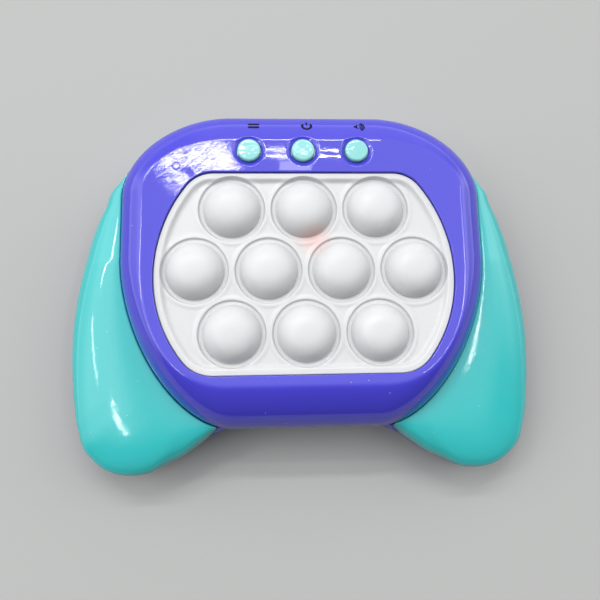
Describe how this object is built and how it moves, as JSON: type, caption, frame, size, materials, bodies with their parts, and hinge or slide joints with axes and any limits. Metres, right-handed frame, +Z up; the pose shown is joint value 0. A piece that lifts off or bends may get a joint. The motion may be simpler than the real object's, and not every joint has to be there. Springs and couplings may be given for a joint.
{
  "type": "electronic quick push game",
  "caption": "Handheld light-up push game: gamepad-shaped two-tone plastic case with a silicone bubble pad, control buttons and a battery compartment.",
  "frame": {"origin": "centre of the bounding box at the bottom, on the flat back that the game lies on", "axes": "+X to the right across the face, +Y towards the control buttons, +Z up out of the face"},
  "size_m": [0.1682, 0.1292, 0.0433],
  "materials": {
    "purple_plastic": "high gloss violet ABS",
    "teal_plastic": "high gloss turquoise ABS",
    "white_silicone": "satin translucent white silicone",
    "aqua_plastic": "glossy pale turquoise plastic",
    "white_plastic": "plain moulded white plastic",
    "circuit_board": "green solder mask",
    "black_plastic": "satin black moulding",
    "lamp_resin": "clear yellowish resin",
    "speaker_paper": "dull pressed paper",
    "ferrite": "dull grey ferrite",
    "cell_jacket": "printed film over steel",
    "steel": "bright plated steel",
    "red_jacket": "red wire insulation",
    "black_jacket": "black wire insulation"
  },
  "bodies": {
    "housing": {"front_cover": "purple_plastic", "rear_cover": "purple_plastic", "left_grip_cover": "teal_plastic", "right_grip_cover": "teal_plastic", "bubble_pad": "white_silicone", "pad_support_frame": "white_plastic", "main_board": "circuit_board", "control_chip": "black_plastic", "bubble_led_1": "lamp_resin", "bubble_led_2": "lamp_resin", "bubble_led_3": "lamp_resin", "bubble_led_4": "lamp_resin", "bubble_led_5": "lamp_resin", "bubble_led_6": "lamp_resin", "bubble_led_7": "lamp_resin", "bubble_led_8": "lamp_resin", "bubble_led_9": "lamp_resin", "bubble_led_10": "lamp_resin", "mode_switch": "black_plastic", "power_switch": "black_plastic", "volume_switch": "black_plastic", "speaker_frame": "steel", "speaker_cone": "speaker_paper", "speaker_magnet": "ferrite", "battery_1": "cell_jacket", "battery_2": "cell_jacket", "battery_3": "cell_jacket", "contact_positive": "steel", "contact_negative": "steel", "contact_link_1": "steel", "contact_link_2": "steel", "case_screw_1": "steel", "case_screw_2": "steel", "case_screw_3": "steel", "case_screw_4": "steel", "case_screw_5": "steel", "case_screw_6": "steel", "board_screw_1": "steel", "board_screw_2": "steel", "board_screw_3": "steel", "board_screw_4": "steel", "speaker_wire_red": "red_jacket", "speaker_wire_black": "black_jacket", "battery_wire_red": "red_jacket", "battery_wire_black": "black_jacket"},
    "bubble_1": {"bubble_1": "white_silicone"},
    "bubble_2": {"bubble_2": "white_silicone"},
    "bubble_3": {"bubble_3": "white_silicone"},
    "bubble_4": {"bubble_4": "white_silicone"},
    "bubble_5": {"bubble_5": "white_silicone"},
    "bubble_6": {"bubble_6": "white_silicone"},
    "bubble_7": {"bubble_7": "white_silicone"},
    "bubble_8": {"bubble_8": "white_silicone"},
    "bubble_9": {"bubble_9": "white_silicone"},
    "bubble_10": {"bubble_10": "white_silicone"},
    "mode_button": {"mode_button": "aqua_plastic"},
    "power_button": {"power_button": "aqua_plastic"},
    "volume_button": {"volume_button": "aqua_plastic"},
    "battery_door": {"battery_door": "purple_plastic", "battery_door_screw": "steel"}
  },
  "joints": [
    {"name": "bubble_1_push", "type": "slide", "parent": "housing", "child": "bubble_1", "axis": [0, 0, -1], "range_m": [0, 0.004], "stiffness_N_per_m": 250},
    {"name": "bubble_2_push", "type": "slide", "parent": "housing", "child": "bubble_2", "axis": [0, 0, -1], "range_m": [0, 0.004], "stiffness_N_per_m": 250},
    {"name": "bubble_3_push", "type": "slide", "parent": "housing", "child": "bubble_3", "axis": [0, 0, -1], "range_m": [0, 0.004], "stiffness_N_per_m": 250},
    {"name": "bubble_4_push", "type": "slide", "parent": "housing", "child": "bubble_4", "axis": [0, 0, -1], "range_m": [0, 0.004], "stiffness_N_per_m": 250},
    {"name": "bubble_5_push", "type": "slide", "parent": "housing", "child": "bubble_5", "axis": [0, 0, -1], "range_m": [0, 0.004], "stiffness_N_per_m": 250},
    {"name": "bubble_6_push", "type": "slide", "parent": "housing", "child": "bubble_6", "axis": [0, 0, -1], "range_m": [0, 0.004], "stiffness_N_per_m": 250},
    {"name": "bubble_7_push", "type": "slide", "parent": "housing", "child": "bubble_7", "axis": [0, 0, -1], "range_m": [0, 0.004], "stiffness_N_per_m": 250},
    {"name": "bubble_8_push", "type": "slide", "parent": "housing", "child": "bubble_8", "axis": [0, 0, -1], "range_m": [0, 0.004], "stiffness_N_per_m": 250},
    {"name": "bubble_9_push", "type": "slide", "parent": "housing", "child": "bubble_9", "axis": [0, 0, -1], "range_m": [0, 0.004], "stiffness_N_per_m": 250},
    {"name": "bubble_10_push", "type": "slide", "parent": "housing", "child": "bubble_10", "axis": [0, 0, -1], "range_m": [0, 0.004], "stiffness_N_per_m": 250},
    {"name": "mode_button_push", "type": "slide", "parent": "housing", "child": "mode_button", "axis": [0, 0, -1], "range_m": [0, 0.0008], "stiffness_N_per_m": 1200},
    {"name": "power_button_push", "type": "slide", "parent": "housing", "child": "power_button", "axis": [0, 0, -1], "range_m": [0, 0.0008], "stiffness_N_per_m": 1200},
    {"name": "volume_button_push", "type": "slide", "parent": "housing", "child": "volume_button", "axis": [0, 0, -1], "range_m": [0, 0.0008], "stiffness_N_per_m": 1200},
    {"name": "battery_door_swing", "type": "hinge", "parent": "housing", "child": "battery_door", "pos_m": [-0.02495, -0.00582, 0.0003], "axis": [0, 1, 0], "range_deg": [0, 40]}
  ]
}
